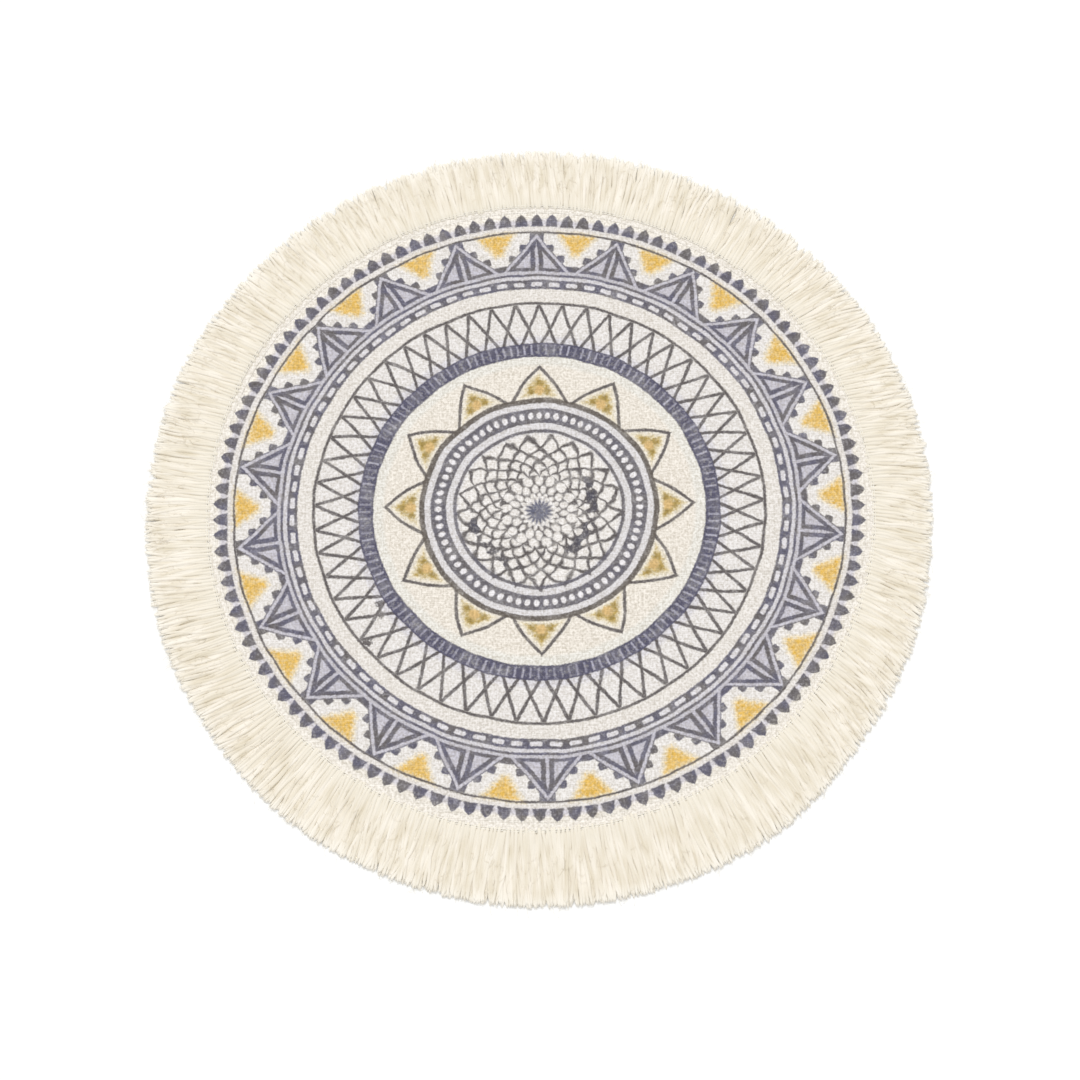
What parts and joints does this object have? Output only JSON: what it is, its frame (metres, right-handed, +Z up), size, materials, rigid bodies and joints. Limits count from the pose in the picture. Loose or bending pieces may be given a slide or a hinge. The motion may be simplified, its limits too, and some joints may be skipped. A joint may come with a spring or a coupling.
{
  "type": "fabric placemat",
  "caption": "Round printed cotton placemat with a yarn fringe sewn round its edge, lying flat on a table.",
  "frame": {"origin": "middle of the cloth, on the table top it lies on", "axes": "+Z up, away from the table; +Y towards the twelve o'clock side, where one point of the printed star lies; +X to the right of it"},
  "size_m": [0.382, 0.3942, 0.002],
  "materials": {
    "printed_cotton": "plain-weave cotton with a ring pattern printed in muted blue-purple and gold",
    "fringe_cotton": "soft undyed cream cotton yarn"
  },
  "bodies": {
    "root": {"printed_cloth": "printed_cotton", "fringe": "fringe_cotton"}
  },
  "joints": []
}
